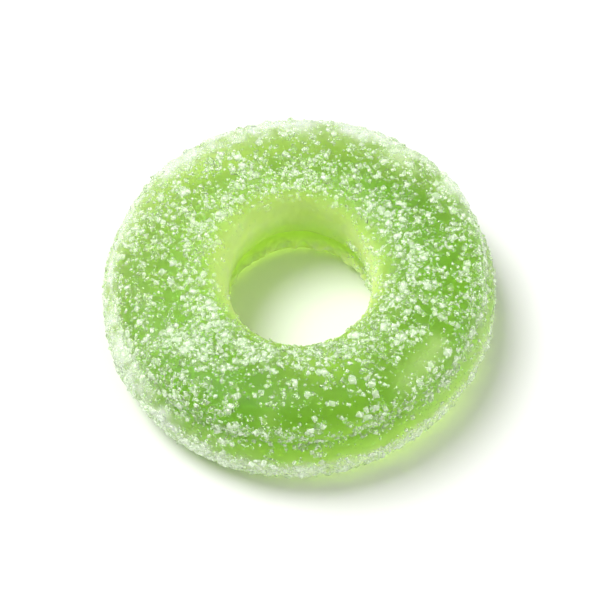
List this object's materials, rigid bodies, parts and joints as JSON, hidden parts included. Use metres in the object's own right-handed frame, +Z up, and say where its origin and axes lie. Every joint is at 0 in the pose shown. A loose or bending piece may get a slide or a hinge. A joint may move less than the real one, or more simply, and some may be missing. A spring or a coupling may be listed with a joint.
{
  "type": "sour apple gummy ring",
  "caption": "Ring of translucent green fruit gel, cast in two rounded lobes with a crease between them, with a hole through it and a coat of coarse sour sugar.",
  "frame": {"origin": "on the floor, on the ring's own axis, under the middle of its hole", "axes": "+Z up along the ring's axis, +X to the right of the picture, +Y away from its camera"},
  "size_m": [0.0364, 0.0363, 0.0107],
  "materials": {
    "gel": "translucent apple green gelatine gel, softly glossy where the sugar has left it bare",
    "sugar": "clear to white sour sugar crystals"
  },
  "bodies": {
    "root": {"gummy_ring": "gel"}
  },
  "joints": []
}
